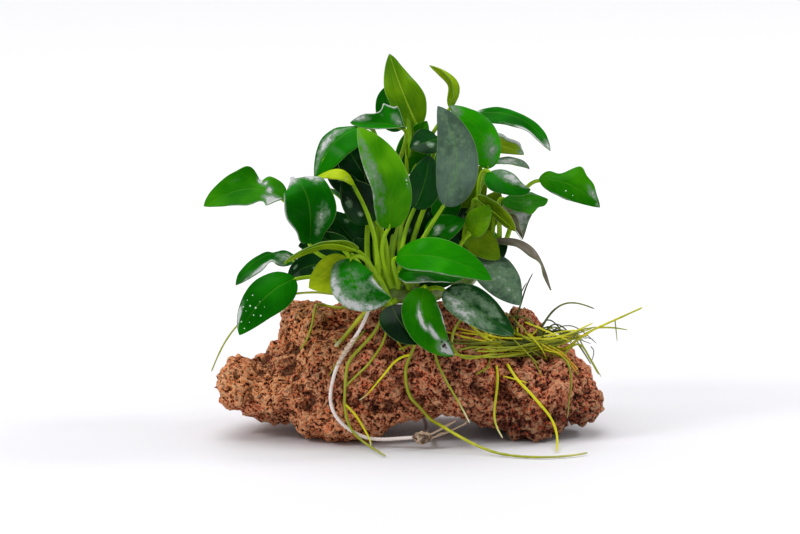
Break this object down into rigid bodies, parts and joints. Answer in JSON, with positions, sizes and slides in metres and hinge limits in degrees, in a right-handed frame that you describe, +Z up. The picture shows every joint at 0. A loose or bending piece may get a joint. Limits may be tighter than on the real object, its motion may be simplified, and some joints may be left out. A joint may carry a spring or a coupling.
{
  "type": "anubias on stone",
  "caption": "Small broad-leaved anubias, its rhizome tied with cord on a long lump of red lava rock, with roots trailing over the stone.",
  "frame": {"origin": "middle of the object's box in plan, on the level plane that the stone's feet stand on", "axes": "+X along the stone to the viewer's right in the picture, +Y away from the viewer, +Z up"},
  "size_m": [0.1748, 0.1162, 0.149],
  "materials": {
    "stone": "matt porous red-brown lava rock",
    "leaf": "waxy glossy deep green leaf",
    "pale_leaf": "satin yellow-green young leaf",
    "dry_leaf": "dull brown-grey withered leaf",
    "rhizome": "satin green creeping stem",
    "root": "satin yellow-green root",
    "tie": "off-white twisted cotton cord"
  },
  "bodies": {
    "root": {"stone": "stone", "rhizome_main": "rhizome", "rhizome_right": "rhizome", "rhizome_back": "rhizome", "tie": "tie", "root_mat": "root", "root_far_left": "root", "root_left": "root", "root_short": "root", "roots_left": "root", "roots_middle": "root", "root_pale_tip": "root", "root_upright": "root", "root_bent": "root", "root_olive": "root", "leaf_top": "pale_leaf", "leaf_top_rear": "leaf", "leaf_young_roll": "pale_leaf", "leaf_crest": "leaf", "leaf_front": "pale_leaf", "leaf_left_round": "leaf", "leaf_shade_left": "leaf", "leaf_curled_yellow": "pale_leaf", "leaf_big_left": "leaf", "leaf_far_left": "leaf", "leaf_low_arch": "leaf", "leaf_edge_arch": "leaf", "leaf_droplet": "leaf", "leaf_bright": "pale_leaf", "leaf_sheen": "leaf", "leaf_bright_front": "pale_leaf", "leaf_spotted": "leaf", "leaf_dark_low": "leaf", "leaf_wavy": "leaf", "leaf_grey_right": "leaf", "leaf_far_right": "leaf", "leaf_sheen_right": "leaf", "leaf_right_mid": "leaf", "leaf_arch_right": "leaf", "leaf_right_upper": "leaf", "leaf_edge_right": "leaf", "leaf_big_sheen": "leaf", "leaf_beside_sheen": "leaf", "leaf_small_glossy": "leaf", "leaf_shade_mid": "leaf", "leaf_young_top": "pale_leaf", "leaf_behind_front": "leaf", "leaf_sheen_mid": "leaf", "leaf_pale_under": "pale_leaf", "leaf_stripe": "leaf", "leaf_inner_right": "leaf", "leaf_droop": "dry_leaf", "leaf_curled_brown": "dry_leaf", "leaf_low_dark": "leaf", "leaf_back_left": "leaf", "leaf_back_middle": "leaf", "leaf_back_right": "leaf", "leaf_back_low_left": "leaf", "leaf_back_low": "leaf", "leaf_back_low_right": "leaf"}
  },
  "joints": []
}
